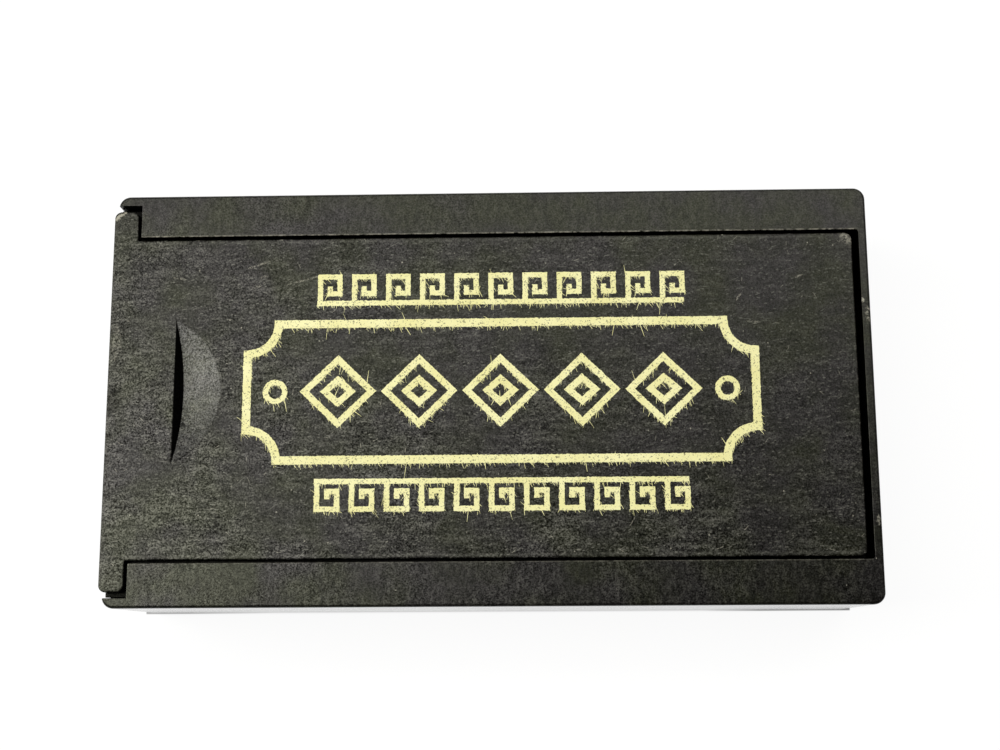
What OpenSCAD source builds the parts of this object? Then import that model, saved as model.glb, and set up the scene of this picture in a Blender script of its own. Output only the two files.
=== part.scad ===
// A flat key box that clings to steel. A moulded case holds the keys, a lid slides
// along it under two lips, and a ferrite magnet is glued into the underside.
// The origin is the centre of the magnet's bare face, where the box meets the steel.
// +X runs along the box away from the thumb end, and +Z points up through the lid.
// All sizes are in millimetres.

/* [Case] */
// Length of the case
case_l = 75; // [66:0.5:110]
// Width of the case over its side walls
case_w = 41.2; // [38:0.2:60]
// Height of the rail tops above the magnet's bare face
case_h = 17; // [15:0.5:26]
// Thickness of the side walls
side_t = 1; // [0.8:0.05:1.6]
// Thickness of the end wall opposite the thumb end
end_t = 0.85; // [0.6:0.05:1.6]
// Thickness of the floor that the keys lie on
floor_t = 1.2; // [0.8:0.1:2]
// Thickness of the skirt below the floor at the thumb end
skirt_t = 1.2; // [0.8:0.1:2]
// Radius of the four upright outer corners
corner_r = 1.15; // [0.7:0.05:3]
// Radius of the upright corners inside the case
inner_r = 0.3; // [0.2:0.05:1]
// Rounding along the top outer edges
edge_r = 0.3; // [0.1:0.05:0.5]

/* [Rails] */
// Width of each lip, inward from its side wall
lip_w = 3.3; // [2:0.1:5]
// Thickness of the lips
lip_t = 1.2; // [0.8:0.1:2]
// Length of the bare ears, where the lips stop short of the thumb end
ear_l = 2.4; // [1.8:0.1:4]
// Width of the ledges that carry the lid's tongues
ledge_w = 1.5; // [1:0.1:2.5]
// Thickness of the ledges
ledge_t = 1.2; // [0.8:0.1:2]

/* [Lid] */
// Thickness of the lid's plate
plate_t = 1.5; // [1:0.1:2]
// How far the lid's face lies below the rail tops
lid_drop = 0.15; // [0:0.05:0.5]
// Thickness of the tongues that run under the lips
tongue_t = 1.6; // [1.2:0.1:2.2]
// Width of the rim round the hollow underside
rim_w = 1.5; // [1:0.1:3]
// Thickness of the ribs across the hollow underside
lid_rib_t = 0.9; // [0.6:0.1:1.5]
// How far the ribs stop short of the underside of the rim
lid_rib_short = 0.2; // [0:0.05:0.6]
// How far the head stands out past the ears
head_proud = 0.4; // [0:0.05:1]
// Thickness of the end plate that hangs from the head
end_plate_t = 1.6; // [1.2:0.1:2.2]
// Radius of the head's upright corners
head_r = 0.7; // [0.5:0.05:0.9]
// Radius of the plate's corners at the far end
plate_r = 0.7; // [0.5:0.05:2]
// Radius of the tongues' corners at the far end, which lead them into the rails
tongue_r = 1.5; // [0.5:0.1:3]
// Rounding along the lid's top edges
lid_edge_r = 0.15; // [0.1:0.05:0.45]

/* [Play] */
// Gap between the plate and the edge of each lip
lip_gap = 0.3; // [0.2:0.05:0.8]
// Gap between the head and each ear
ear_gap = 0.55; // [0.3:0.05:1]
// Gap between each tongue and its side wall
tongue_gap = 0.25; // [0.2:0.05:0.6]
// Gap between each tongue's root and its ear, where the closed lid sits snug
snug_gap = 0.1; // [0.05:0.05:0.3]
// Gap above and below each tongue, and under the end plate
slide_gap = 0.2; // [0.15:0.05:0.5]
// Gap between the lid's far end and the end wall
far_gap = 0.65; // [0.3:0.05:1]
// Gap between the head and the ends of the lips
shoulder_gap = 0.35; // [0.2:0.05:0.8]

/* [Thumb scoop] */
// Length of the scoop's steep wall, across the lid
scoop_w = 14.6; // [10:0.1:20]
// How far the scoop runs from its steep wall before it fades out
scoop_run = 4.8; // [3:0.1:6]
// Depth of the scoop straight below the middle of its steep wall's top edge
scoop_depth = 1.3; // [0.6:0.1:2]
// Angle by which the steep wall leans back from upright
scoop_lean = 32; // [5:1:45]
// Distance from the head's outer face to the steep wall's top edge
scoop_in = 6.6; // [4:0.1:12]
// How far the scoop lies to one side of the lid's middle
scoop_off = 0.6; // [-2:0.1:2]
// Thickness left under the scoop, and the margin of the pad round it
scoop_pad_t = 1.1; // [0.8:0.1:2]

/* [Catch and gate] */
// Radius of the catch bead on each tongue
bead_r = 1; // [0.6:0.1:1.5]
// How far each bead stands out of its tongue
bead_h = 0.15; // [0.1:0.05:0.2]
// Distance from the lid's far end to the beads
bead_in = 5; // [3:0.5:12]
// Room round each bead in its pocket
bead_gap = 0.35; // [0.25:0.05:0.5]
// Length of the gate stub on the head's outer face
gate_l = 1.4; // [0.8:0.1:3]
// Height of the gate stub
gate_h = 1; // [0.6:0.1:2]
// How far the gate stub stands out of the head
gate_t = 0.2; // [0.1:0.05:0.4]

/* [Magnet] */
// Length of the magnet
magnet_l = 60; // [40:1:64]
// Width of the magnet
magnet_w = 25; // [15:1:32]
// Thickness of the magnet
magnet_t = 4.5; // [3:0.5:6]
// How far the magnet stands out of the case's rim
magnet_proud = 0.4; // [0.2:0.1:0.8]
// Bevel of the magnet's ground edges
magnet_bevel = 0.3; // [0.1:0.05:0.5]
// Thickness of the glue between magnet and floor
glue_t = 0.3; // [0.1:0.05:0.6]
// How far the glue stays in from the magnet's edges
glue_in = 1.5; // [0.5:0.5:4]
// Gap between the magnet and the frame round it
bay_gap = 0.2; // [0.1:0.05:0.5]
// Thickness of that frame and of the ribs that brace it
bay_t = 1; // [0.8:0.1:1.4]
// Depth of the frame and its ribs below the floor
bay_h = 3; // [1:0.1:4]
// Number of braces on each long side of the frame
brace_n = 3; // [1:1:6]

/* [Hidden] */
$fn = 64;
over = 1; // how far a cut runs past the face it opens

// Heights
rim_z = magnet_proud;
floor_z = magnet_t + glue_t;
keys_z = floor_z + floor_t;
lip_z = case_h - lip_t;
tongue_top = lip_z - slide_gap;
tongue_z = tongue_top - tongue_t;
ledge_top = tongue_z - slide_gap;
lid_top = case_h - lid_drop;
plate_z = lid_top - plate_t;
end_plate_z = keys_z + slide_gap;

// Places along the case
thumb_x = -case_l / 2;
wall_x = case_l / 2 - end_t;
lips_x = thumb_x + ear_l;
head_x = thumb_x - head_proud;
far_x = wall_x - far_gap;
head_l = lips_x - shoulder_gap - head_x;

// Widths
inner_w = case_w - 2 * side_t;
slot_w = inner_w - 2 * lip_w;
plate_w = slot_w - 2 * lip_gap;
head_w = inner_w - 2 * ear_gap;
tongue_w = inner_w - 2 * tongue_gap;
root_w = inner_w - 2 * snug_gap;
hollow_w = plate_w - 2 * rim_w;

// The scoop is a ball's cap, cut off by the steep wall. Seen from above, the cap's
// edge is a circle through both ends of the wall and the point where the run ends.
scoop_x = head_x + scoop_in;
scoop_circle = (pow(scoop_w / 2, 2) + pow(scoop_run, 2)) / (2 * scoop_run);
scoop_back = scoop_circle - scoop_run;
ball_up = (pow(scoop_circle, 2) - pow(scoop_back, 2) - pow(scoop_depth, 2)) / (2 * scoop_depth);
ball_r = sqrt(pow(scoop_circle, 2) + pow(ball_up, 2));
pad_z = lid_top - scoop_depth - scoop_pad_t;

bead_x = far_x - bead_in;
bead_y = tongue_w / 2 + bead_h - bead_r;

bay_l = magnet_l + 2 * bay_gap;
bay_w = magnet_w + 2 * bay_gap;
bay_z = floor_z - bay_h;

// A rectangle with round corners, centred
module round_rect(l, w, r) {
    square([l - 2 * r, w], center = true);
    square([l, w - 2 * r], center = true);
    for (x = [-1, 1], y = [-1, 1])
        translate([x * (l / 2 - r), y * (w / 2 - r)]) circle(r);
}

// The upright section of a block whose two top edges are rounded
module topped_section(w, h, e) {
    translate([-w / 2, 0]) square([w, h - e]);
    translate([-w / 2 + e, 0]) square([w - 2 * e, h]);
    for (side = [-1, 1]) translate([side * (w / 2 - e), h - e]) circle(e);
}

// A block with round upright corners of radius r, and with top edges of radius e
// that run on round those corners
module soft_block(l, w, h, r, e) {
    rotate([90, 0, 90]) linear_extrude(l - 2 * r, center = true) topped_section(w, h, e);
    rotate([90, 0, 0]) linear_extrude(w - 2 * r, center = true) topped_section(l, h, e);
    for (x = [-1, 1], y = [-1, 1])
        translate([x * (l / 2 - r), y * (w / 2 - r), 0])
            rotate_extrude() intersection() {
                topped_section(2 * r, h, e);
                square([r, h]);
            }
}

// A box from one X to another, centred across the case, from one height to another
module bar(x0, x1, w, z0, z1) {
    translate([x0, -w / 2, z0]) cube([x1 - x0, w, z1 - z0]);
}

// The same box with round upright corners
module round_bar(x0, x1, w, z0, z1, r) {
    translate([(x0 + x1) / 2, 0, z0]) linear_extrude(z1 - z0) round_rect(x1 - x0, w, r);
}

// The beads on the tongues, or the wider pockets for them in the side walls
module catches(r) {
    for (side = [-1, 1])
        translate([bead_x, side * bead_y, tongue_z]) cylinder(r = r, h = tongue_t);
}

// The frame round the magnet, and the braces from it to the walls
module magnet_bay() {
    difference() {
        bar(-bay_l / 2 - bay_t, bay_l / 2 + bay_t, bay_w + 2 * bay_t, bay_z, floor_z);
        bar(-bay_l / 2, bay_l / 2, bay_w, bay_z - over, floor_z + over);
    }
    brace_w = (inner_w - bay_w) / 2;
    for (side = [-1, 1], i = [0 : brace_n - 1])
        translate([bay_l * ((i + 0.5) / brace_n - 0.5), side * (bay_w + brace_w) / 2, 0])
            bar(-bay_t / 2, bay_t / 2, brace_w, bay_z, floor_z);
    for (y = [-1, 0, 1] * (bay_w + bay_t) / 2) translate([0, y, 0]) {
        bar(thumb_x + skirt_t, -bay_l / 2, bay_t, bay_z, floor_z);
        bar(bay_l / 2, wall_x, bay_t, bay_z, floor_z);
    }
}

// The ledges that carry the tongues, or the wider room for them in the end plate
module ledges(x0, x1, room) {
    w = ledge_w + room;
    for (side = [-1, 1])
        translate([0, side * (inner_w - w) / 2, 0])
            bar(x0, x1, w, ledge_top - ledge_t - room, ledge_top + room);
}

module case_shell() {
    difference() {
        translate([0, 0, rim_z]) soft_block(case_l, case_w, case_h - rim_z, corner_r, edge_r);
        // room for the keys, up to the lips, open at the thumb end
        round_bar(thumb_x - 2 * over, wall_x, inner_w, keys_z, lip_z, inner_r);
        // the slot between the lips
        round_bar(thumb_x - 2 * over, wall_x, slot_w, keys_z, case_h + over, inner_r);
        // the open ears at the thumb end
        bar(thumb_x - over, lips_x, inner_w, keys_z, case_h + over);
        // the underside, hollow inside its skirt
        round_bar(thumb_x + skirt_t, wall_x, inner_w, rim_z - over, floor_z, inner_r);
        catches(bead_r + bead_gap);
    }
}

module case() {
    color([0.17, 0.17, 0.16]) {
        case_shell();
        ledges(thumb_x, wall_x, 0);
        magnet_bay();
    }
}

// The ribs under the plate: two along it and three across
module lid_ribs() {
    rib_z = tongue_z + lid_rib_short;
    for (y = [-1, 1] * hollow_w / 5) translate([0, y, 0])
        bar(head_x + head_l - over, far_x - rim_w, lid_rib_t, rib_z, plate_z);
    for (i = [0 : 2]) translate([far_x - rim_w - (i + 1) * (far_x - scoop_x) / 4, 0, 0])
        bar(-lid_rib_t / 2, lid_rib_t / 2, hollow_w, rib_z, plate_z);
}

// The thicker pad that keeps a wall under the scoop
module scoop_pad() {
    intersection() {
        translate([scoop_x - scoop_back, scoop_off, pad_z])
            cylinder(r = scoop_circle + scoop_pad_t, h = lid_top - lid_edge_r - pad_z);
        bar(scoop_x - scoop_pad_t, far_x, plate_w, pad_z, lid_top);
    }
}

module scoop() {
    reach = 2 * scoop_run;
    intersection() {
        translate([scoop_x - scoop_back, scoop_off, lid_top + ball_up]) sphere(ball_r);
        translate([scoop_x, scoop_off, lid_top]) rotate([0, -scoop_lean, 0])
            bar(0, reach, 2 * scoop_w, -reach, over);
    }
}

// The head between the ears, with the end plate that closes the case
module lid_head() {
    end_r = min(head_r, 0.45 * end_plate_t);
    translate([head_x + head_l / 2, 0, tongue_z])
        soft_block(head_l, head_w, lid_top - tongue_z, head_r, lid_edge_r);
    difference() {
        round_bar(head_x, head_x + end_plate_t, head_w, end_plate_z, tongue_z + tongue_t / 2, end_r);
        ledges(head_x - over, head_x + end_plate_t + over, slide_gap);
    }
    translate([0, scoop_off, 0])
        bar(head_x - gate_t, head_x + head_r, gate_l, tongue_top - gate_h, tongue_top);
}

module lid_body() {
    root_x = head_x + head_l / 2;
    // the plate seen between the rails
    translate([(root_x + far_x) / 2, 0, plate_z])
        soft_block(far_x - root_x, plate_w, plate_t, plate_r, lid_edge_r);
    // the tongues and the rim, round a hollow underside
    difference() {
        union() {
            round_bar(root_x, far_x, tongue_w, tongue_z, tongue_top, tongue_r);
            bar(thumb_x, head_x + head_l, root_w, tongue_z, tongue_top);
            round_bar(root_x, far_x, plate_w, tongue_z, lid_top - lid_edge_r, plate_r);
        }
        bar(head_x + head_l, far_x - rim_w, hollow_w, tongue_z - over, lid_top + over);
    }
}

module lid() {
    color([0.2, 0.2, 0.19]) difference() {
        union() {
            lid_body();
            lid_head();
            lid_ribs();
            scoop_pad();
            catches(bead_r);
        }
        scoop();
    }
}

// A ground ferrite block with bevelled edges round both large faces
module magnet() {
    l = magnet_l;
    w = magnet_w;
    color([0.28, 0.28, 0.3]) intersection() {
        rotate([90, 0, 90]) linear_extrude(l, center = true) bevelled(w, magnet_t, magnet_bevel);
        rotate([90, 0, 0]) linear_extrude(w, center = true) bevelled(l, magnet_t, magnet_bevel);
    }
}

// The section of a block whose four edges are bevelled
module bevelled(w, h, b) {
    polygon([
        [-w / 2 + b, 0], [w / 2 - b, 0], [w / 2, b], [w / 2, h - b],
        [w / 2 - b, h], [-w / 2 + b, h], [-w / 2, h - b], [-w / 2, b]
    ]);
}

// The set layer of glue between the magnet and the floor
module glue() {
    color([0.75, 0.72, 0.6])
        round_bar(-magnet_l / 2 + glue_in, magnet_l / 2 - glue_in, magnet_w - 2 * glue_in,
            magnet_t, floor_z, glue_in);
}

case();
lid();
magnet();
glue();
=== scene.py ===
# %% [markdown]
# # Dressing a magnetic key box
# The box is a flat black moulding, 75 mm long, with a lid that slides along it under two
# lips and a ferrite magnet glued into its underside. Its form is already settled: it comes
# in as a frame of CAD solids, in metres, and nothing in this lesson moves or resizes them.
# What is left is everything that makes it look like a used plastic box: edges that catch
# light, a scuffed and grainy skin, a worn gold print and the light it lies in.
#
# The frame is loaded first, and the boxes of its case and lid are kept.

# %% Load the frame
import math

import bmesh
import bpy
import numpy as np
from mathutils import Matrix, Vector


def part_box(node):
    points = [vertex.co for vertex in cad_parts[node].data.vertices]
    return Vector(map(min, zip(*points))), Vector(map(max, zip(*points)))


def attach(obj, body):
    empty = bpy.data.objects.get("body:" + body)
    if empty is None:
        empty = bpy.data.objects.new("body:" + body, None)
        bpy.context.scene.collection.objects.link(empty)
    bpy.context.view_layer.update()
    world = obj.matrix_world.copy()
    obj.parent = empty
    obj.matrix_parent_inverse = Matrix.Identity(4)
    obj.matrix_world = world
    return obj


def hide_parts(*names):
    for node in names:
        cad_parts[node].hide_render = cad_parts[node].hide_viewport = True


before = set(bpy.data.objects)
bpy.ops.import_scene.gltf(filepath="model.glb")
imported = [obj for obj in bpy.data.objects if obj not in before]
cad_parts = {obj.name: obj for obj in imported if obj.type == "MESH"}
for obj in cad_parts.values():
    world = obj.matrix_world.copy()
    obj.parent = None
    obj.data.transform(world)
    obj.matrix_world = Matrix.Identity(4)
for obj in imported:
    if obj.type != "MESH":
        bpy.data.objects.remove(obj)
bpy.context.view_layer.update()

MM = 0.001  # one millimetre in Blender's metres
lid_low, lid_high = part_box("lid")
case_low, case_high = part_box("case")
LID_TOP = lid_high.z / MM
RAIL_TOP = case_high.z / MM
print(f"case {case_high.x - case_low.x:.4f} m long, lid top at {LID_TOP:.2f} mm")

# %% [markdown]
# ## The camera
# The photograph looks almost straight down from 14 cm above the lid, from a little to the
# right of its middle and below it. The place and the point looked at were found by laying
# the case's four top edges over the photograph. Three directions build the camera: it looks
# back along `back`, and `right` and `up` follow from cross products, with a quarter of a
# degree of roll. Making the axes by hand keeps the maths visible, where a Track To
# constraint would hide it.

# %% Camera
CAMERA_PLACE = np.array([4.395, -24.846, 156.805])  # mm
CAMERA_AIM = np.array([0.962, 1.858, 17.0])  # mm, a point on the rail tops
CAMERA_ROLL = math.radians(-0.277)
CAMERA_LENS = 52.2  # mm, on a sensor 36 mm wide


def camera_axes(place, aim, roll):
    """Back points from the aim to the camera; right is level, then turned by the roll."""
    back = (place - aim) / np.linalg.norm(place - aim)
    level = np.cross([0.0, 1.0, 0.0], back)
    level /= np.linalg.norm(level)
    right = math.cos(roll) * level + math.sin(roll) * np.cross(back, level)
    return right, np.cross(back, right), back


camera = bpy.data.objects.new("camera", bpy.data.cameras.new("camera"))
camera.data.sensor_width = 36.0
camera.data.lens = CAMERA_LENS
camera.data.clip_start = 0.01
matrix = np.eye(4)
matrix[:3, :3] = np.column_stack(camera_axes(CAMERA_PLACE, CAMERA_AIM, CAMERA_ROLL))
matrix[:3, 3] = CAMERA_PLACE * MM
camera.matrix_world = Matrix(matrix.tolist())
bpy.context.scene.collection.objects.link(camera)
bpy.context.scene.camera = camera
print("camera stands", round(float(np.linalg.norm(CAMERA_PLACE - CAMERA_AIM)), 1), "mm away")

# %% [markdown]
# ## Small tools for node materials
# Every finish here is procedural. A material is a graph, and writing one with
# `nodes.new` and `links.new` line by line is long and hard to read, so a few helpers each
# add one node and hand back its output. Positions are the Object coordinates in
# millimetres: the box lies at the origin, so a place on the real object is a place in the
# pattern, and a scale of 5 means five grains to the millimetre.


# %% Node helpers
class Finish:
    """One material with a Principled shader, built node by node."""

    def __init__(self, name, rough, specular=0.5):
        self.material = bpy.data.materials.new(name)
        self.material.use_nodes = True
        self.tree = self.material.node_tree
        self.shader = self.tree.nodes["Principled BSDF"]
        self.shader.inputs["Roughness"].default_value = rough
        self.shader.inputs["Specular IOR Level"].default_value = specular
        coords = self.tree.nodes.new("ShaderNodeTexCoord")
        self.mm = self.vector("MULTIPLY", coords.outputs["Object"], (1 / MM,) * 3)

    def add(self, kind, inputs, **settings):
        """A node with its settings; an input that is a socket is linked, any other is a value."""
        node = self.tree.nodes.new(kind)
        for key, value in settings.items():
            setattr(node, key, value)
        for key, value in inputs.items():
            if isinstance(value, bpy.types.NodeSocket):
                self.tree.links.new(value, node.inputs[key])
            elif value is not None:
                node.inputs[key].default_value = value
        return node

    def vector(self, operation, a, b=None):
        node = self.add("ShaderNodeVectorMath", {0: a, 1: b}, operation=operation)
        return node.outputs[0]

    def calc(self, operation, a, b=None, c=None):
        node = self.add("ShaderNodeMath", {0: a, 1: b, 2: c}, operation=operation)
        return node.outputs[0]

    def placed(self, centre=(0, 0, 0), turn=0.0, stretch=(1, 1, 1)):
        """The position in mm from a centre, turned about Z, then scaled along each axis."""
        shifted = self.vector("SUBTRACT", self.mm, centre)
        turned = self.add("ShaderNodeVectorRotate", {"Vector": shifted, "Angle": -math.radians(turn)},
                          rotation_type="Z_AXIS")
        return self.vector("MULTIPLY", turned.outputs[0], stretch)

    def noise(self, scale, detail=2.0, rough=0.5, at=None):
        """Soft random values round 0.5, `scale` lumps to the millimetre."""
        node = self.add("ShaderNodeTexNoise", {"Vector": at or self.mm, "Scale": scale,
                                               "Detail": detail, "Roughness": rough})
        return node.outputs["Fac"]

    def span(self, value, low, high, start=0.0, end=1.0):
        """Maps low..high to start..end, held at both ends."""
        node = self.add("ShaderNodeMapRange", {"Value": value, "From Min": low, "From Max": high,
                                               "To Min": start, "To Max": end})
        return node.outputs[0]

    def blend(self, share, a, b):
        """Colour a where share is 0, and b where it is 1."""
        node = self.tree.nodes.new("ShaderNodeMix")
        node.data_type = "RGBA"
        for key, value in ((0, share), (6, a), (7, b)):
            if isinstance(value, bpy.types.NodeSocket):
                self.tree.links.new(value, node.inputs[key])
            else:
                node.inputs[key].default_value = value if key == 0 else (*value, 1.0)
        return node.outputs[2]

    def colour(self, value):
        self.tree.links.new(value, self.shader.inputs["Base Color"])

    def roughness(self, value):
        self.tree.links.new(value, self.shader.inputs["Roughness"])

    def specular(self, value):
        self.tree.links.new(value, self.shader.inputs["Specular IOR Level"])

    def sheen_tint(self, value):
        self.tree.links.new(value, self.shader.inputs["Specular Tint"])

    def times(self, first, *others):
        """The product of several values."""
        for other in others:
            first = self.calc("MULTIPLY", first, other)
        return first

    def either(self, a, b):
        """The greater of two values, which joins two masks."""
        return self.calc("MAXIMUM", a, b)

    def length_of(self, vector):
        return self.add("ShaderNodeVectorMath", {0: vector}, operation="LENGTH").outputs["Value"]

    def axis(self, number):
        """One coordinate of the position in mm: 0 is X, 1 is Y and 2 is Z."""
        return self.add("ShaderNodeSeparateXYZ", {0: self.mm}).outputs[number]

    def facing(self, number):
        """One coordinate of the direction that the flat face points in, from -1 to 1."""
        normal = self.add("ShaderNodeNewGeometry", {}).outputs["True Normal"]
        return self.add("ShaderNodeSeparateXYZ", {0: normal}).outputs[number]

    def over(self, number, low):
        """1 where a coordinate is more than low mm."""
        return self.calc("GREATER_THAN", self.axis(number), low)

    def under(self, number, high):
        """1 where a coordinate is less than high mm."""
        return self.calc("LESS_THAN", self.axis(number), high)

    def between(self, number, low, high):
        """1 where a coordinate lies from low to high mm."""
        return self.times(self.over(number, low), self.under(number, high))

    def within(self, number, limit):
        """1 where a coordinate is less than limit mm to either side of 0, and 0 beyond."""
        return self.calc("LESS_THAN", self.calc("ABSOLUTE", self.axis(number)), limit)

    def relief(self, height, depth_mm):
        """Bump from a 0..1 height whose full range is depth_mm deep."""
        node = self.add("ShaderNodeBump", {"Height": height, "Distance": depth_mm * MM})
        self.tree.links.new(node.outputs["Normal"], self.shader.inputs["Normal"])


print("a finish can use", [name for name in vars(Finish) if not name.startswith("_")])

# %% [markdown]
# ## Marks that lie one by one
# Scratches are not noise. Each is a short straight line with its own place, slant and
# length, and stretched noise gives blurred bands instead. A Voronoi texture splits the
# surface into cells and gives each cell's centre and a random colour, so the vector from
# the centre, turned by a random angle, can be tested against the half length and half width
# of a line. That gives one crisp scratch per cell, and the colour also says which cells
# stay bare. The cells are laid out on X and Y alone, so upright walls, where such a line
# would become a long stripe, are left out.


# %% Scratches
def marks(finish, per_mm, length, width, slant=0.0, spread=10.0, share=0.5, shift=0.0, bend=0.0):
    """A mask of short lines: |along| < length / 2 and |across| < width / 2 in the kept cells."""
    shifted = finish.vector("ADD", finish.mm, (shift, shift * 0.7, 0.0))
    flat = finish.vector("MULTIPLY", shifted, (1.0, 1.0, 0.0))
    cells = finish.add("ShaderNodeTexVoronoi", {"Vector": flat, "Scale": per_mm},
                       voronoi_dimensions="2D")
    spot = finish.vector("SUBTRACT", flat, cells.outputs["Position"])
    chance = finish.add("ShaderNodeSeparateColor", {0: cells.outputs["Color"]}).outputs
    least, most = math.radians(slant - spread), math.radians(slant + spread)
    angle = finish.times(finish.span(chance[0], 0, 1, least, most), -1.0)
    turned = finish.add("ShaderNodeVectorRotate", {"Vector": spot, "Angle": angle},
                        rotation_type="Z_AXIS")
    part = finish.add("ShaderNodeSeparateXYZ", {0: turned.outputs[0]}).outputs
    along = finish.calc("ABSOLUTE", part[0])
    sag = finish.times(along, along, bend)
    across = finish.calc("ABSOLUTE", finish.calc("SUBTRACT", part[1], sag))
    half = finish.span(chance[1], 0, 1, 0.2 * length, 0.5 * length)
    inside = finish.span(finish.calc("SUBTRACT", along, half), -0.15 * length, 0.0, 1.0, 0.0)
    thin = finish.span(across, 0.25 * width, 0.6 * width, 1.0, 0.0)
    kept = finish.calc("LESS_THAN", chance[2], share)
    skips = finish.span(finish.noise(5.0, 2.0, 0.6), 0.40, 0.55, 0.15, 1.0)
    lying = finish.calc("GREATER_THAN", finish.calc("ABSOLUTE", finish.facing(2)), 0.5)
    return finish.times(inside, thin, kept, skips, lying)


print("scratches: one line in each kept cell")

# %% [markdown]
# ## Worn patches
# Other wear has a place of its own: a chipped corner, or an edge rubbed pale. A painted
# mask would need a picture. Here a mask is worked out from the distance to a known spot or
# line, and noise is added to that distance, or multiplies the mask, so that its edge is
# ragged as broken plastic is.


# %% Patches and worn edges
def patch(finish, centre, size, ragged=0.5, grain=3.0, turn=0.0):
    """A mask of 1 at a centre that falls to 0 at about size mm away, with a ragged edge."""
    away = finish.length_of(finish.placed(centre, turn, tuple(1.0 / reach for reach in size)))
    rough = finish.span(finish.noise(grain, 3.0, 0.7), 0.25, 0.75, -ragged, ragged)
    return finish.span(finish.calc("ADD", away, rough), 0.55, 1.0, 1.0, 0.0)


def crumbled(finish, mask, grain=4.5, low=0.46, high=0.58):
    """The same mask broken into crumbs: it stays only where a fine noise is above a level."""
    return finish.times(mask, finish.span(finish.noise(grain, 3.0, 0.7), low, high))


def worn_line(finish, number, place, width, both=False):
    """A mask along a straight edge: 1 where a coordinate is at its place, broken up by noise."""
    value = finish.axis(number)
    if both:
        value = finish.calc("ABSOLUTE", value)
    off = finish.calc("ABSOLUTE", finish.calc("SUBTRACT", value, place))
    near = finish.span(off, 0.0, width, 1.0, 0.0)
    return finish.times(near, finish.span(finish.noise(2.2, 3.0, 0.7), 0.38, 0.62))


print("worn patches: a distance, made ragged by noise")

# %% [markdown]
# ## Black plastic
# The case is injection moulded in black plastic with a fine matt skin. It isn't one flat
# grey: the skin has a grain of a tenth or two of a millimetre, large faint clouds that lean
# to olive in one place and to violet in another, and a few pale nicks. Plastic this dark
# shows hardly any colour of its own, and most of what the eye sees is the light that its
# skin throws back. So the grain goes into the specular level as well as into the colour and
# the relief. It is more worn near the thumb end and on the near side, and one function gives
# that share for every mark.

# %% Colours, and where the plastic is worn
BLACK = (0.0020, 0.0020, 0.0015)
OLIVE = (0.0062, 0.0066, 0.0022)
VIOLET = (0.0052, 0.0042, 0.0050)
OLIVE_SHEEN, VIOLET_SHEEN = (0.97, 1.0, 0.80), (1.0, 0.975, 0.94)
DUST = (0.145, 0.143, 0.122)
PALE = (0.40, 0.38, 0.31)
# pale of the scoop's floor: fingertip wear together with painted light
PALE_WEAR_AND_LIGHT = (0.42, 0.42, 0.40)
# near black for the painted shade in the gaps and on the scoop's steep wall
SHADE_BLACK = (0.0006, 0.0006, 0.0005)
MEAN_SHINE = 0.345  # specular level of the clean skin
CASE_MATT, LID_MATT, POLISHED = 0.36, 0.42, 0.06  # roughness of the tops and of upright walls


def how_worn(finish):
    """About 0 at the far right corner and 1 at the near left, in large soft patches."""
    thumb_end = finish.span(finish.axis(0), -38, 30, 0.5, 0.0)
    near_side = finish.span(finish.axis(1), -20, 8, 0.6, 0.0)
    patchy = finish.span(finish.noise(0.16, 2.0), 0.35, 0.6, 0.3, 1.4)
    return finish.times(finish.calc("ADD", thumb_end, near_side), patchy)


def skin_shine(finish, skin, mottle, worn, contrast):
    """Specular level: its mean, plus painted light on the near left and painted shade on the near right,
    plus glints that swing more where it is worn.
    """
    grain = finish.calc("ADD", skin, finish.times(mottle, 0.2))
    glints = finish.span(grain, 0.42, 0.78, -0.5, 0.5)
    swing = finish.span(worn, 0.0, 0.9, 0.28 * contrast, 0.62 * contrast)
    # painted light and shade: the shine rises on the near left and drops on the near right
    near_half = finish.span(finish.axis(1), -20, 7, 1.0, 0.0)
    painted_light_tilt = finish.times(near_half, finish.span(finish.axis(0), -38, 38, 0.05, -0.12))
    return finish.calc("MULTIPLY_ADD", glints, swing, finish.calc("ADD", painted_light_tilt, MEAN_SHINE))


print("specular level of the clean skin:", MEAN_SHINE)

# %% [markdown]
# ## Case and lid
# Both are the same plastic, so one function makes both finishes and the differences are its
# settings. Years of fingers have scuffed the lid, so its marks are denser and mostly run
# along the box, the way it slides in and out of a pocket. Every layer is blended over the
# one before, from the darkest and largest to the palest and smallest, as dust and scratches
# lie over the skin.


# %% Case plastic and lid plastic
def plastic(name, rough, grain, dusty, contrast, drag, speck_share, scuffs):
    """Black plastic: clouds, then grain, then dust and scuffs laid over it in one colour chain."""
    finish = Finish(name, rough)
    clouds = finish.span(finish.noise(0.20, 3.0), 0.38, 0.62)
    finish.sheen_tint(finish.blend(clouds, OLIVE_SHEEN, VIOLET_SHEEN))
    skin = finish.noise(6.8, 2.0, 0.6)
    mottle = finish.noise(1.1, 3.0, 0.65, finish.placed(stretch=drag))
    cloudy = finish.blend(clouds, OLIVE, VIOLET)
    colour = finish.blend(finish.span(mottle, 0.35, 0.65), BLACK, cloudy)
    worn = how_worn(finish)
    flecks = finish.span(finish.times(skin, mottle), 0.24, 0.42, 0.0, grain)
    colour = finish.blend(finish.times(flecks, finish.span(worn, 0, 1, 0.3, dusty)), colour, DUST)
    for strength, tone, settings in scuffs:
        share = finish.span(worn, 0.0, 0.8, 0.5 * strength, strength)
        colour = finish.blend(finish.times(marks(finish, **settings), share), colour, tone)
    specks = marks(finish, per_mm=0.36, length=0.20, width=0.15, spread=90,
                   share=speck_share, shift=11.9)
    colour = finish.blend(finish.times(specks, 0.8), colour, PALE)
    finish.relief(finish.noise(6.2, 3.0, 0.7), 0.016)
    return finish, colour, skin_shine(finish, skin, mottle, worn, contrast)


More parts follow.
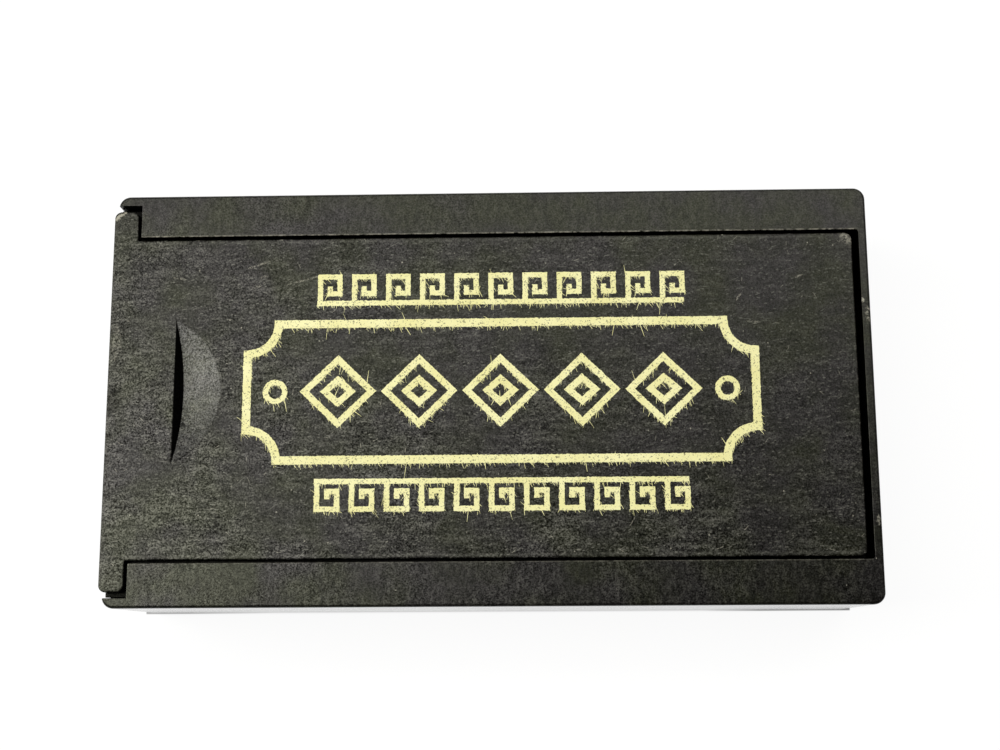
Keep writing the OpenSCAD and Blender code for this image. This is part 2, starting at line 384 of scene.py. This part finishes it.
CASE_SCUFFS = [  # strength, colour, and the settings of the marks
    (0.20, DUST, dict(per_mm=0.8, length=1.3, width=0.07, spread=9, share=0.35)),
    (0.18, DUST, dict(per_mm=0.4, length=1.1, width=0.10, slant=86, spread=12, share=0.30,
                      shift=2.3)),
]
LID_SCUFFS = [
    (0.90, DUST, dict(per_mm=2.0, length=0.45, width=0.13, slant=6, spread=26, share=0.50)),
    (0.75, DUST, dict(per_mm=0.5, length=1.5, width=0.10, slant=14, spread=24, share=0.28,
                      shift=3.1, bend=0.12)),
    (0.90, DUST, dict(per_mm=0.2, length=2.6, width=0.08, slant=24, spread=50, share=0.25,
                      shift=7.7, bend=-0.10)),
    (0.70, PALE, dict(per_mm=0.45, length=0.8, width=0.07, slant=60, spread=90, share=0.22,
                      shift=5.3, bend=0.3)),
]
case_finish, case_colour, case_shine = plastic(
    "black_plastic_case", CASE_MATT, grain=0.16, dusty=1.6, contrast=0.95,
    drag=(2.2, 0.8, 1.0), speck_share=0.05, scuffs=CASE_SCUFFS)
lid_finish, lid_colour, lid_shine = plastic(
    "black_plastic_lid", LID_MATT, grain=0.32, dusty=1.8, contrast=1.30,
    drag=(0.45, 1.7, 1.0), speck_share=0.20, scuffs=LID_SCUFFS)
print("lid plastic so far:", len(lid_finish.tree.nodes), "nodes")

# %% [markdown]
# ## Wear on the case
# The lid rubs along the lips, so their edges are pale, most on the far side, and the thin
# end wall has been knocked pale in three spots. A mask limits each mark to the top, because
# a coordinate alone would also draw it down the wall and across the floor inside.

# %% Pale lips and end wall
LIP_EDGE = 16.3  # mm from the middle to the edge of each lip
WALL_X = 36.5  # where the lips end and the end wall begins, mm
WALL_SPOTS = [  # place and reach in mm, and strength
    ((37.2, 7.6), (0.3, 1.0), 0.7),
    ((36.7, 9.2), (0.25, 0.4), 1.0),
    ((37.2, -12.6), (0.25, 0.6), 0.5),
]
far_lip = case_finish.span(case_finish.axis(1), -16, 16, 0.25, 1.0)
lips = case_finish.times(worn_line(case_finish, 1, LIP_EDGE, 0.16, both=True),
                         case_finish.over(2, RAIL_TOP - 0.3), far_lip, case_finish.under(0, WALL_X))
case_colour = case_finish.blend(lips, case_colour, PALE)
for (x, y), reach, strength in WALL_SPOTS:
    spot = crumbled(case_finish, patch(case_finish, (x, y, RAIL_TOP), (*reach, 0.6)))
    case_colour = case_finish.blend(case_finish.times(spot, strength), case_colour, PALE)
print("worn: two lips and", len(WALL_SPOTS), "spots on the end wall")

# %% [markdown]
# ## Wear on the lid
# The head sticks out, so it takes the knocks: its edge is rubbed, and one corner has a pale
# chip. Keys and grit have drawn a few long scratches that can be told one from another, and
# these are placed one by one, each as a long thin patch broken into crumbs.

# %% Rubbed edges, chips and plain scratches
HEAD_X = lid_low.x / MM + 0.2  # the head's outer face; the gate stub stands 0.2 mm out of it
RIM_Y = 15.65  # the plate's long edges, mm from the middle
head = worn_line(lid_finish, 0, HEAD_X, 0.55)
rim = lid_finish.times(worn_line(lid_finish, 1, RIM_Y, 0.20, both=True),
                       lid_finish.over(2, LID_TOP - 0.3))
rubs = crumbled(lid_finish, patch(lid_finish, (HEAD_X + 0.7, 5.4, LID_TOP), (0.6, 2.0, 0.6)), 5.0)
chip = patch(lid_finish, (HEAD_X + 0.45, 18.5, LID_TOP), (0.80, 0.20, 0.6), 0.9, 4.0, turn=40)
nick = patch(lid_finish, (HEAD_X + 1.05, 18.95, LID_TOP), (0.20, 0.14, 0.6), 0.3, 4.0)
corner = patch(lid_finish, (35.7, 15.5, LID_TOP), (1.4, 0.9, 0.8), 0.9, 2.0)
corner = crumbled(lid_finish, corner, 4.0, 0.44, 0.56)
lid_wear = [(head, 0.18, DUST), (rim, 0.35, DUST), (rubs, 0.35, PALE), (chip, 0.9, PALE),
            (nick, 0.9, PALE), (corner, 0.55, PALE)]
WISPS = [  # the plainest scratches: middle in mm, turn in degrees and length in mm
    (-23.2, 13.3, 19, 3.2), (-22.6, 12.1, 15, 1.0), (-23.2, 11.1, 20, 1.3), (-18.6, 11.7, 15, 4.0),
    (-31.0, 12.0, -10, 1.6), (24.6, 9.6, 55, 1.3), (26.0, 7.0, -5, 1.6), (30.6, 11.6, 20, 1.0),
]
for x, y, turn, length in WISPS:
    wisp = patch(lid_finish, (x, y, LID_TOP), (0.5 * length, 0.13, 0.5), 0.5, 4.0, turn)
    lid_wear.append((crumbled(lid_finish, wisp, 6.5, 0.44, 0.54), 0.45, PALE))
for mask, strength, tone in lid_wear:
    lid_colour = lid_finish.blend(lid_finish.times(mask, strength), lid_colour, tone)
print("worn places on the lid:", len(lid_wear))

# %% [markdown]
# ## The scoop
# The scoop's floor is painted pale, most on the far side: partly fingertip wear, and partly painted
# light on a floor that tilts towards the lamps. Its steep wall faces away from them and is painted
# black as painted shade. A thumb has left a dark smudge on the head. The scoop is cut into the lid
# and isn't a piece that could have its own material, so it is found by its place: it lies
# below the lid's top and within reach of its middle, and the steep wall is the part of it
# that faces along the box.

# %% Scoop and smudge
SCOOP_Y = 0.6  # how far the scoop lies to one side, mm
scoop_middle = (HEAD_X + 9.0, SCOOP_Y, LID_TOP)
from_scoop = lid_finish.length_of(lid_finish.vector("SUBTRACT", lid_finish.mm, scoop_middle))
sunk = lid_finish.times(lid_finish.span(lid_finish.axis(2), LID_TOP - 0.10, LID_TOP - 0.03, 1.0, 0.0),
                        lid_finish.calc("LESS_THAN", from_scoop, 8.5))
far_side = lid_finish.span(lid_finish.axis(1), -6, 3, 0.3, 1.0)
# the scoop's floor painted pale: partly wear, partly painted light where the floor faces the lamps
wear_and_painted_light = crumbled(lid_finish, lid_finish.times(sunk, far_side), 5.5, 0.42, 0.62)
lid_colour = lid_finish.blend(lid_finish.times(wear_and_painted_light, 0.45), lid_colour, PALE_WEAR_AND_LIGHT)
# the steep wall faces away from the lamps and is painted black as painted shade further down
steep = lid_finish.times(lid_finish.calc("GREATER_THAN", lid_finish.facing(0), 0.6), sunk)
smudge = patch(lid_finish, (HEAD_X + 0.7, -0.1, LID_TOP), (1.1, 1.9, 1.0), 0.5, 1.5)
print("scoop middle at", [round(value, 2) for value in scoop_middle], "mm")

# %% [markdown]
# ## Painted shade in the gaps
# The narrow gaps between lid and case are painted near black and dull, as painted shade. An Ambient
# Occlusion node could find such gaps by itself, but its darkening would vanish as the lid slides
# open, and the inside of the box would darken too. The gaps' places are known, so the
# masks are plain limits: between the tongues and the rail tops, inside the ears, and behind
# the head's outer face.

# %% Masks of the gaps
TONGUE_Z = RAIL_TOP - 3.4  # the gaps reach down to here
SLOT_Y = 19.65  # mm from the middle to the ears' inner faces
PLATE_Y = 15.7  # the lid's sides lie outside this
INSIDE_X = 37.0  # the end wall's outer face lies beyond this
# painted shade: the slot between the lips, down to the tongues
case_shade_mask = case_finish.times(case_finish.within(1, SLOT_Y), case_finish.under(0, INSIDE_X),
                               case_finish.between(2, TONGUE_Z, RAIL_TOP - 0.07))
lid_side = lid_finish.calc("SUBTRACT", 1.0, lid_finish.within(1, PLATE_Y))
behind_head = lid_finish.span(lid_finish.axis(0), HEAD_X + 0.1, HEAD_X + 0.6)
# painted shade: the lid's sides behind the head, inside the gaps
lid_shade_mask = lid_finish.times(lid_side, behind_head,
                             lid_finish.between(2, TONGUE_Z, LID_TOP - 0.12))
# the scoop's steep wall gets the same painted shade
lid_shade_mask = lid_finish.either(lid_shade_mask, steep)
# where the shine is taken: the painted shade, joined with the thumb's real smudge
lid_shade_and_smudge = lid_finish.either(lid_shade_mask, lid_finish.times(smudge, 0.6))
print("gaps lie from", round(TONGUE_Z, 2), "to", round(RAIL_TOP, 2), "mm high")

# %% [markdown]
# ## The plastic's last step
# The painted shade is near black, and it also takes the shine away, because a gap that still shines
# doesn't look deep. The tops have the mould's matt grain. The upright walls slid out of the
# mould, which must be smooth there, so they are glossy and mirror the cloth. One material
# can be both, with its roughness worked out from how far a face lies down.

# %% Colour, shine and roughness
# the fourth column is where shade is painted near black, the fifth where the shine is taken
plastics = [  # finish, colour, shine, where it is black, where it is dull, roughness lying down
    (case_finish, case_colour, case_shine, case_shade_mask, case_shade_mask, CASE_MATT),
    (lid_finish, lid_colour, lid_shine, lid_shade_mask, lid_shade_and_smudge, LID_MATT),
]
for finish, colour, shine, shade_mask, dull, matt in plastics:
    # painted shade: near black colour and little shine in the masked places
    finish.colour(finish.blend(shade_mask, colour, SHADE_BLACK))
    finish.specular(finish.times(shine, finish.span(dull, 0.0, 1.0, 1.0, 0.15)))
    lying = finish.calc("ABSOLUTE", finish.facing(2))
    finish.roughness(finish.span(lying, 0.1, 0.4, POLISHED, matt))
    print(finish.material.name, "has", len(finish.tree.nodes), "nodes")

# %% [markdown]
# ## Edges that catch light
# No moulded edge is perfectly sharp, and a line of light along an edge is what tells the
# eye that a black shape is solid. The CAD solids have their large rounds, but their other
# edges are knife sharp. A CAD node's mesh is loose triangles, so a copy is merged first,
# flat regions are joined into single faces, and a Bevel modifier breaks each sharp edge by
# less than a tenth of a millimetre. A Bevel node in the material would be less work, but it
# only bends the light, and the outline would stay sharp. The copy then stands for the node.


# %% Case and lid with broken edges
CREASE, SHARP = math.radians(15), math.radians(35)  # below both, an edge is part of a round


def broken_edges(node, name, width_mm, finish):
    """A merged copy of a CAD node: its sharp edges rounded by a Bevel modifier, its creases kept."""
    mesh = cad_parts[node].data.copy()
    work = bmesh.new()
    work.from_mesh(mesh)
    bmesh.ops.remove_doubles(work, verts=work.verts, dist=0.002 * MM)
    bmesh.ops.dissolve_limit(work, angle_limit=math.radians(0.5), verts=work.verts, edges=work.edges)
    for face in work.faces:
        face.smooth = True
    for edge in work.edges:
        edge.smooth = not CREASE < edge.calc_face_angle(0.0) < SHARP
    work.to_mesh(mesh)
    work.free()
    mesh.materials.clear()
    mesh.materials.append(finish.material)
    piece = bpy.data.objects.new(name, mesh)
    bpy.context.scene.collection.objects.link(piece)
    bevel = piece.modifiers.new("broken_edges", "BEVEL")
    bevel.width = width_mm * MM
    bevel.segments = 2
    bevel.limit_method = "ANGLE"
    bevel.angle_limit = SHARP
    bevel.use_clamp_overlap = False
    weighted = piece.modifiers.new("flat_faces_stay_flat", "WEIGHTED_NORMAL")
    weighted.weight = 80
    weighted.keep_sharp = True
    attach(piece, node)
    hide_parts(node)
    print(name, len(mesh.polygons), "faces before the bevel")
    return piece


case_piece = broken_edges("case", "case_moulding", 0.07, case_finish)
lid_piece = broken_edges("lid", "lid_moulding", 0.07, lid_finish)

# %% [markdown]
# ## The magnet and its glue
# The magnet is a pressed ferrite block, ground flat on its face, so it is a dull steel grey
# with faint parallel grinding lines and a few chipped pores. The pores are only a bump, and their
# near-black is painted shade in the pits. The lines are one noise
# squeezed nine times across and stretched four times along. The glue behind it was clear
# and has yellowed. Both solids have the right shape already, bevels included, so they stay
# and only get a finish.

# %% Ferrite and glue
ferrite = Finish("ground_ferrite", 0.42)
grinding = ferrite.noise(1.0, 4.0, 0.7, ferrite.placed(turn=4, stretch=(0.25, 9.0, 1.0)))
pits_with_painted_shade = ferrite.span(ferrite.noise(1.6, 4.0, 0.75), 0.28, 0.36, 1.0, 0.0)
grey = ferrite.blend(ferrite.span(grinding, 0.3, 0.7), (0.055, 0.056, 0.062), (0.10, 0.10, 0.108))
# painted shade: the pits turn near black
ferrite.colour(ferrite.blend(pits_with_painted_shade, grey, (0.015, 0.014, 0.014)))
ferrite.relief(ferrite.calc("SUBTRACT", grinding, pits_with_painted_shade), 0.01)
ferrite.shader.inputs["Metallic"].default_value = 0.35

glue = Finish("yellowed_glue", 0.28)
clouded = glue.noise(0.8, 3.0)
glue.colour(glue.blend(glue.span(clouded, 0.3, 0.7), (0.55, 0.47, 0.27), (0.68, 0.62, 0.43)))
glue.relief(glue.noise(1.5, 2.0), 0.05)

for node, finish in (("magnet", ferrite), ("glue", glue)):
    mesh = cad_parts[node].data
    mesh.materials.clear()
    mesh.materials.append(finish.material)
    print(node, "has the finish", finish.material.name)

# %% [markdown]
# ## The gold print
# The lid carries a print in pale gold ink, drawn in strokes of half to nearly one
# millimetre. Here it is a plain ornament: a long cartouche with hollow corners, a chain of
# lozenges inside it, and a meander above and below. A print could be a picture on the lid,
# but then its edge is only as sharp as the picture. Instead every stroke is a ribbon of
# ink, 0.02 mm thick, carried along a path: at each point of the path two edge points stand
# half a width to either side, and the four corners of the ink's section make a closed band.


# %% Edge points along a path
STEP = 0.12  # distance between points along a stroke, mm


def mitres(corners, closed):
    """The step from each corner to the left edge: both legs' normals summed, over 1 + their dot."""
    if closed:
        before, after = corners - np.roll(corners, 1, 0), np.roll(corners, -1, 0) - corners
    else:
        legs = np.diff(corners, axis=0)
        before, after = np.vstack([legs[:1], legs]), np.vstack([legs, legs[-1:]])
    left = [np.column_stack([-leg[:, 1], leg[:, 0]]) / np.linalg.norm(leg, axis=1)[:, None]
            for leg in (before, after)]
    return (left[0] + left[1]) / (1 + (left[0] * left[1]).sum(1))[:, None]


def divided(corners, counts, closed):
    """Each leg between two corners split into its count of equal parts: corner + share * leg."""
    ends = np.roll(corners, -1, 0) if closed else corners[1:]
    leg = np.repeat(np.arange(len(counts)), counts)
    share = (np.arange(len(leg)) - (np.cumsum(counts) - counts)[leg]) / counts[leg]
    points = corners[leg] + share[:, None] * (ends[leg] - corners[leg])
    return points if closed else np.vstack([points, corners[-1:]])


print("a point every", STEP, "mm")

# %% [markdown]
# ## A band of ink
# Under a lens the ink's edges aren't straight, and no two strokes are equally thick. So each
# edge point strays a little along the line between the two edges, and each stroke has its
# own height. Then four points make a ring round the ink at each step, and quads join each
# ring to the next. An open stroke gets a face at each end, so that every band is a closed
# solid with its faces outwards.


# %% Strokes of ink
INK = 0.02  # thickness of the ink, mm
ROUGH_EDGE = 0.020  # how far a stroke's edge strays, mm
random = np.random.default_rng(11)
edges = []  # every stroke's edge points with their outward directions, for the frays


def stroke(corners, width, closed=True):
    """A closed band of ink: two mitred edges, roughened, below and above, joined in rings of four."""
    corners = np.asarray(corners, float)
    step = mitres(corners, closed) * width / 2
    legs = np.roll(corners, -1, 0) - corners if closed else np.diff(corners, axis=0)
    counts = np.maximum(1, np.round(np.linalg.norm(legs, axis=1) / STEP)).astype(int)
    left = divided(corners + step, counts, closed)
    right = divided(corners - step, counts, closed)
    across = (left - right) / np.linalg.norm(left - right, axis=1)[:, None]
    left = left + across * random.normal(0.0, ROUGH_EDGE, (len(left), 1))
    right = right - across * random.normal(0.0, ROUGH_EDGE, (len(right), 1))
    low = np.full((len(left), 1), LID_TOP - INK / 2)
    high = np.full((len(left), 1), LID_TOP + INK * random.uniform(0.8, 1.3))
    rings = np.stack([np.hstack([left, low]), np.hstack([right, low]),
                      np.hstack([right, high]), np.hstack([left, high])], axis=1)
    here = np.arange(len(left) if closed else len(left) - 1)
    there = (here + 1) % len(left)
    faces = []
    for side in range(4):
        after = (side + 1) % 4
        faces.append(np.column_stack([here * 4 + side, there * 4 + side,
                                      there * 4 + after, here * 4 + after]))
    if not closed:
        last = 4 * (len(left) - 1)
        faces.append(np.array([[0, 1, 2, 3], [last + 3, last + 2, last + 1, last]]))
    edges.append(np.hstack([left, across]))
    edges.append(np.hstack([right, -across]))
    return rings.reshape(-1, 3), np.vstack(faces)


def joined(parts):
    """Many point and face arrays as one, each face number moved past the points before it."""
    starts = np.cumsum([0] + [len(points) for points, _ in parts[:-1]])
    points = np.vstack([points for points, _ in parts])
    faces = np.vstack([faces + start for start, (_, faces) in zip(starts, parts)])
    return points, faces


def piece_from(name, points, faces, finish):
    """A mesh object from points in mm and four-sided faces."""
    mesh = bpy.data.meshes.new(name)
    mesh.from_pydata((points * MM).tolist(), [], faces.tolist())
    mesh.materials.append(finish.material)
    piece = bpy.data.objects.new(name, mesh)
    bpy.context.scene.collection.objects.link(piece)
    return piece


print("ink", INK, "mm thick, edges rough by", ROUGH_EDGE, "mm")

# %% [markdown]
# ## The ornament's outlines
# The ornament is drawn from four figures. Each could be traced from a picture, but a formula
# keeps its corners square and its sizes free to change, so each figure is a short function
# that returns its corner points. The cartouche has a quarter circle cut out of each corner,
# and the meander's hooks are one square spiral repeated along a line.

# %% Cartouche, lozenges and meander
PRINT_X, PRINT_Y = 1.0, 0.4  # middle of the print on the lid, mm
PRINT_L = 50.0  # length of the print
BOLD, PLAIN, FINE = 0.82, 0.64, 0.52  # widths of the strokes


def cartouche(length, height, bite, steps=12):
    """A rectangle with a quarter circle of radius `bite` taken out of each corner, anticlockwise."""
    turn = np.linspace(0, np.pi / 2, steps)
    arc = bite * np.column_stack([-np.sin(turn), -np.cos(turn)])
    parts = []
    for quarter in range(4):
        x, y = ((1, 1), (-1, 1), (-1, -1), (1, -1))[quarter]
        cos, sin = math.cos(quarter * math.pi / 2), math.sin(quarter * math.pi / 2)
        turned = arc @ np.array([[cos, sin], [-sin, cos]])
        parts.append(turned + (x * length / 2, y * height / 2))
    return np.vstack(parts)


def lozenge(x, y, length, height):
    """Four corners, half a length or half a height from the middle."""
    return np.array([[x - length / 2, y], [x, y - height / 2],
                     [x + length / 2, y], [x, y + height / 2]])


def ring(x, y, radius, steps=28):
    """Points at equal angles, at the middle + radius * (cos, sin)."""
    turn = np.linspace(0, 2 * np.pi, steps, endpoint=False)
    return np.column_stack([x + radius * np.cos(turn), y + radius * np.sin(turn)])


def hook(x, y, size, up):
    """A square spiral that leaves its base line, goes over and curls back in."""
    shape = np.array([[0, 0], [0, 1], [0.72, 1], [0.72, 0.36], [0.36, 0.36], [0.36, 0.64]])
    return np.array([x, y]) + shape * size * np.array([1.0, up])


CHAIN = 5  # lozenges in the chain
CHAIN_STEP = 8.0
HOOKS = 11  # hooks in each meander
HOOK_STEP = 3.4
HOOK_SIZE = 2.7
BASE_L = HOOKS * HOOK_STEP - 1.0  # length of the line that the hooks stand on
strokes = [stroke(cartouche(PRINT_L, 13.6, 3.0) + (PRINT_X, PRINT_Y), BOLD)]
for i in range(CHAIN):
    middle = PRINT_X + (i - (CHAIN - 1) / 2) * CHAIN_STEP
    strokes.append(stroke(lozenge(middle, PRINT_Y, CHAIN_STEP - 1.4, 6.4), PLAIN))
    strokes.append(stroke(lozenge(middle, PRINT_Y, 2.6, 2.3), PLAIN))
for side in (-1, 1):
    strokes.append(stroke(ring(PRINT_X + side * 22.2, PRINT_Y, 0.95), FINE))
    row = PRINT_Y + side * 8.9
    start = PRINT_X - BASE_L / 2
    strokes.append(stroke([[start, row], [start + BASE_L, row]], FINE, closed=False))
    for i in range(HOOKS):
        curl = hook(start + i * HOOK_STEP + 0.3, row, HOOK_SIZE, side)
        strokes.append(stroke(curl, FINE, closed=False))
print("ornament:", len(strokes), "strokes")

# %% [markdown]
# ## Dragged ink
# The strokes' lower edges end in a comb of fine slivers, as if the ink had been dragged down
# when its film was pulled away, and a few longer ones stray from any edge. Noise in the
# material could only break up the inside of a stroke, not reach past its edge. So each
# sliver is a thin box that tapers away from a random point of an edge. They are all worked
# out at once, as arrays with one row to a sliver.

# %% Frayed edges
FRAYS, STRAYS = 2600, 86  # short slivers on lower edges, and long ones on any edge
SLIVER_FACES = np.array([[0, 4, 5, 1], [1, 5, 6, 2], [2, 6, 7, 3], [3, 7, 4, 0],
                         [0, 1, 2, 3], [7, 6, 5, 4]])


def frays(count, lowest, mean_length):
    """Slivers from root = spot - 0.1 along to tip = spot + length along, on edges facing below lowest."""
    table = np.vstack(edges)
    table = table[table[:, 3] < lowest]
    spot = table[random.integers(0, len(table), count)]
    slant = np.radians(random.normal(-74, 22, count))
    along = np.column_stack([np.cos(slant), np.sin(slant)])
    along *= np.sign((along * spot[:, 2:]).sum(1))[:, None]
    across = np.column_stack([-along[:, 1], along[:, 0]])
    length = random.gamma(2.0, mean_length / 2, count)[:, None]
    half = random.uniform(0.02, 0.045, count)[:, None]
    root = spot[:, :2] - along * 0.1
    tip = spot[:, :2] + along * length
    low = np.full((count, 1), LID_TOP - INK / 2)
    high = np.full((count, 1), LID_TOP + INK / 2)
    corners = []
    for point, width in ((root, half), (tip, half * 0.35)):
        left, right = point + across * width, point - across * width
        corners += [np.hstack([left, low]), np.hstack([right, low])]
        corners += [np.hstack([right, high]), np.hstack([left, high])]
    points = np.stack(corners, axis=1)
    faces = SLIVER_FACES + 8 * np.arange(count)[:, None, None]
    return points.reshape(-1, 3), faces.reshape(-1, 4)


strokes.append(frays(FRAYS, -0.3, 0.23))
strokes.append(frays(STRAYS, 1.0, 0.55))
print("slivers:", FRAYS + STRAYS)

# %% [markdown]
# ## The ink's finish
# The ink is matt, and its gold is a pale yellow without any metal in it. It has worn away
# in pin holes where the black shows through, so one noise gives the holes and a slower one
# lets the yellow drift from stroke to stroke. All strokes and slivers are joined into one
# piece, which rides on the lid.

# %% Gold ink on the lid
ink = Finish("pale_gold_ink", 0.5, 0.3)
holes = ink.span(ink.noise(5.0, 3.0, 0.75), 0.57, 0.63)
worn = ink.span(ink.noise(0.3, 3.0), 0.35, 0.65)
gold = ink.blend(worn, (0.88, 0.84, 0.39), (0.95, 0.92, 0.50))
ink.colour(ink.blend(ink.times(holes, 0.85), gold, (0.10, 0.09, 0.04)))
print_piece = piece_from("lid_print", *joined(strokes), ink)
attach(print_piece, "lid")
print("print:", len(print_piece.data.polygons), "faces")

# %% [markdown]
# ## The cloth
# The box lies on a white cloth. More light would turn a plain floor white, but would grey
# the black box too. So the floor is lit as pale cloth would be, and to the camera and in
# reflections it glows a little as well, which lifts it to white and leaves its shadow. Just
# outside the case's footprint the glow fades, which paints a thin contact shadow where cloth and
# case nearly touch, so that the box stands on the cloth and doesn't float over it. This painted
# shadow is deepest near the two ends of the box. From below the cloth can be seen
# through, so that the underside with its magnet can be looked at too.

# %% Floor
scene = bpy.context.scene
scene.view_settings.view_transform = "Standard"

FLOOR_SIZE = 1.2  # metres
FLOOR_GLOW = 0.93
# the painted contact shadow is this wide
CONTACT = 0.15  # mm from the footprint to the full glow


def plain_floor():
    """A square of cloth that glows by span(length(max(|p| - half, 0)), 0, CONTACT, level, 1), where level
    is the painted contact shadow.
    """
    side = FLOOR_SIZE / 2
    mesh = bpy.data.meshes.new("floor")
    low = -0.02 * MM  # just clear of the magnet's face
    mesh.from_pydata([(-side, -side, low), (side, -side, low), (side, side, low), (-side, side, low)],
                     [], [(0, 1, 2, 3)])
    floor = bpy.data.objects.new("floor", mesh)
    scene.collection.objects.link(floor)
    cloth = Finish("white_cloth", 1.0, 0.0)
    ray = cloth.add("ShaderNodeLightPath", {})
    seen = cloth.calc("MAXIMUM", ray.outputs["Is Camera Ray"], ray.outputs["Is Glossy Ray"])
    cloth.colour(cloth.blend(seen, (0.44, 0.44, 0.433), (0.11, 0.11, 0.109)))
    half = (case_high.x / MM, case_high.y / MM, 100.0)
    beyond = cloth.vector("SUBTRACT", cloth.vector("ABSOLUTE", cloth.mm), half)
    outside = cloth.vector("MAXIMUM", beyond, (0.0, 0.0, 0.0))
    away = cloth.length_of(outside)
    # painted contact shadow: the share of glow left at the case's edge, least near both ends
    contact_shadow_level = cloth.calc("MINIMUM", cloth.span(cloth.axis(0), 22.0, 28.0, 0.8, 0.15),
                       cloth.span(cloth.axis(0), -33.0, -24.0, 0.3, 0.8))
    glow_with_painted_shadow = cloth.span(away, 0.0, CONTACT, contact_shadow_level, 1.0)
    glow = cloth.times(seen, glow_with_painted_shadow, FLOOR_GLOW)
    back = cloth.add("ShaderNodeNewGeometry", {}).outputs["Backfacing"]
    cloth.tree.links.new(cloth.calc("SUBTRACT", 1.0, back), cloth.shader.inputs["Alpha"])
    cloth.shader.inputs["Emission Color"].default_value = (1.0, 1.0, 1.0, 1.0)
    cloth.tree.links.new(glow, cloth.shader.inputs["Emission Strength"])
    mesh.materials.append(cloth.material)
    return floor


plain_floor()
print("cloth", FLOOR_SIZE, "m square")

# %% [markdown]
# ## The sky
# Behind the cloth's edge the picture is white, but an even white sky would fill the black
# with grey. So the world is white to the camera alone, and very dim as a light.

# %% Sky
SKY_LIGHT = 0.045
world = bpy.data.worlds.new("sky")
scene.world = world
world.use_nodes = True
sky = world.node_tree.nodes["Background"]
sky.inputs["Color"].default_value = (1.0, 1.0, 1.0, 1)
path = world.node_tree.nodes.new("ShaderNodeLightPath")
level = world.node_tree.nodes.new("ShaderNodeMapRange")
level.inputs["To Min"].default_value = SKY_LIGHT
level.inputs["To Max"].default_value = 1.0
world.node_tree.links.new(path.outputs["Is Camera Ray"], level.inputs["Value"])
world.node_tree.links.new(level.outputs[0], sky.inputs["Strength"])
print("sky as a light:", SKY_LIGHT)

# %% [markdown]
# ## The lamps
# The light is soft daylight from the upper left, with a pale wall beyond the far side. Three
# area lights give that: a large window, a dimmer panel overhead, and a long low strip for
# the wall, which only the rounded far edges reflect. A sun lamp would be simpler, but its
# small hard reflection is wrong for black plastic, which shows the shape of whatever lights
# it.


# %% Lamps
def soft_lamp(name, place, size, watts, tint):
    """An area light at a place in mm that faces the middle of the lid; its size is in metres."""
    lamp = bpy.data.objects.new(name, bpy.data.lights.new(name, "AREA"))
    lamp.data.shape = "RECTANGLE"
    lamp.data.size, lamp.data.size_y = size
    lamp.data.energy = watts
    lamp.data.color = tint
    place = np.array(place, float)
    matrix = np.eye(4)
    matrix[:3, :3] = np.column_stack(camera_axes(place, np.array([0.0, 0.0, LID_TOP]), 0.0))
    matrix[:3, 3] = place * MM
    lamp.matrix_world = Matrix(matrix.tolist())
    scene.collection.objects.link(lamp)
    print(name, watts, "W at", place.tolist(), "mm")


soft_lamp("window", (-318, 42, 400), (0.53, 0.23), 2.55, (1.0, 0.985, 0.94))
soft_lamp("sky_panel", (118, 196, 457), (0.43, 0.12), 0.82, (1.0, 0.99, 0.96))
soft_lamp("pale_wall", (0, 450, 75), (0.60, 0.10), 0.55, (1.0, 1.0, 0.98))

# %% [markdown]
